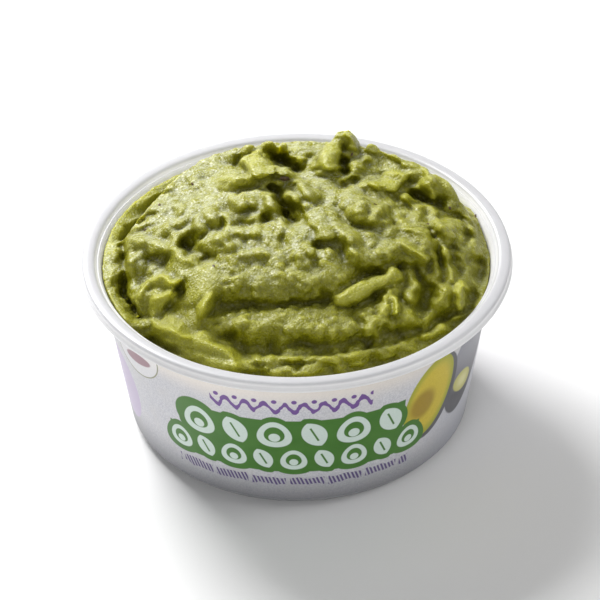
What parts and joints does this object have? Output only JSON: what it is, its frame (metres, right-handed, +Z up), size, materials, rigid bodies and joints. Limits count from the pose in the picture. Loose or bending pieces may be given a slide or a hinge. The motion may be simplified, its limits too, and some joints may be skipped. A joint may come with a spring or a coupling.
{
  "type": "tub of chunky guacamole",
  "caption": "Round printed plastic tub with a flanged rim, filled and heaped with chunky mashed guacamole, open at the top.",
  "frame": {"origin": "centre of the tub's foot, on the surface that it stands on", "axes": "+Z up along the tub's axis, -Y the front of the print, +X to the right of the print seen from the front"},
  "size_m": [0.101, 0.101, 0.0582],
  "materials": {
    "milky_plastic": "frosted translucent white polypropylene, semi-gloss",
    "printed_film": "in-mould film, warm light grey ground with a green field, satin",
    "mashed_avocado": "moist mashed avocado, yellow-green, granular, with wet glints"
  },
  "bodies": {
    "root": {"tub": "milky_plastic", "wrap": "printed_film", "guacamole": "mashed_avocado"}
  },
  "joints": []
}
